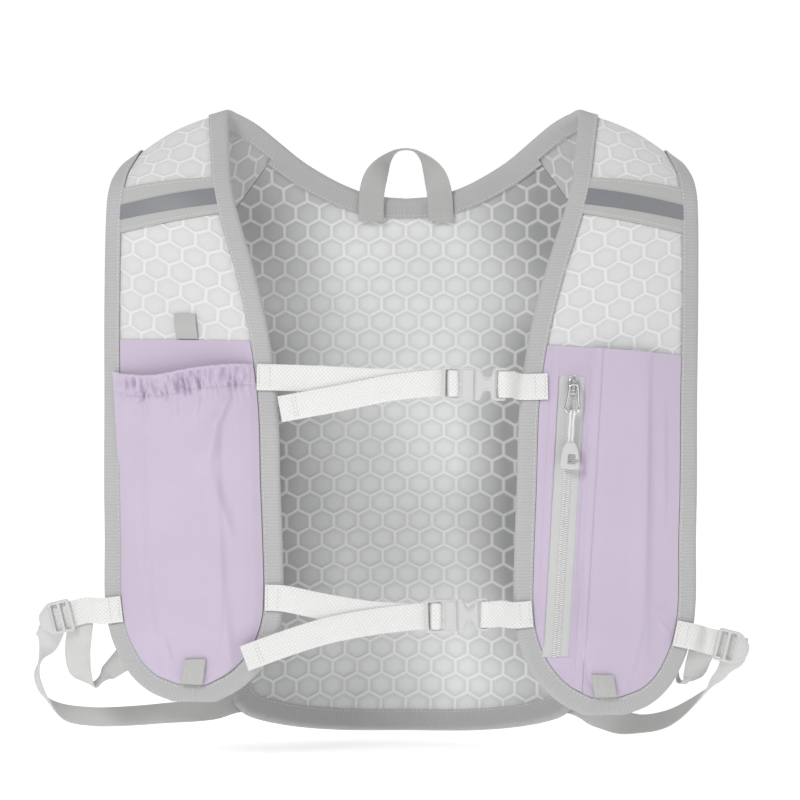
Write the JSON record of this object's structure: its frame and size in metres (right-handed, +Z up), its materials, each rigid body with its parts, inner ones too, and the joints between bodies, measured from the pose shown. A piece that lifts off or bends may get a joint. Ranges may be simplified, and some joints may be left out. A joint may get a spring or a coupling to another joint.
{
  "type": "running hydration vest",
  "caption": "Open-fronted running vest with wide shoulder straps, honeycomb mesh back, flask pocket, zipped pocket, buckled chest straps and side straps.",
  "frame": {"origin": "midway between the two shoulder straps, level with the top of the wearer's shoulders", "axes": "+X to the wearer's left, +Z up, the wearer faces -Y"},
  "size_m": [0.444, 0.1761, 0.3948],
  "materials": {
    "mesh": "matte padded air mesh with a raised honeycomb net",
    "tape": "matte ribbed grosgrain",
    "lilac": "matte coated ripstop",
    "webbing": "matte woven webbing",
    "grey_webbing": "matte woven webbing",
    "band": "matte woven tape",
    "stripe": "retroreflective, satin",
    "plastic": "fine matte moulding",
    "metal": "polished"
  },
  "bodies": {
    "root": {"strap_panel_left": "mesh", "strap_panel_right": "mesh", "back_panel": "mesh", "edge_tape": "tape", "flask_pocket_backing": "lilac", "flask_pocket": "lilac", "zip_pocket": "lilac", "zip_tape": "webbing", "zip_coil": "webbing", "zip_slider": "metal", "zip_pull_ring": "metal", "zip_pull": "webbing", "top_tab": "grey_webbing", "left_foot_tab": "grey_webbing", "right_foot_tab": "grey_webbing", "shoulder_band_left": "band", "reflective_stripe_left": "stripe", "shoulder_band_right": "band", "reflective_stripe_right": "stripe", "carry_loop": "grey_webbing", "upper_chest_plug": "plastic", "upper_chest_socket": "plastic", "upper_chest_strap": "webbing", "upper_chest_anchor": "webbing", "lower_chest_plug": "plastic", "lower_chest_socket": "plastic", "lower_chest_strap": "webbing", "lower_chest_anchor": "webbing", "side_lock_left": "plastic", "side_web_left": "webbing", "side_strap_left": "grey_webbing", "side_tail_left": "grey_webbing", "side_lock_right": "plastic", "side_web_right": "webbing", "side_strap_right": "grey_webbing", "side_tail_right": "grey_webbing"}
  },
  "joints": []
}
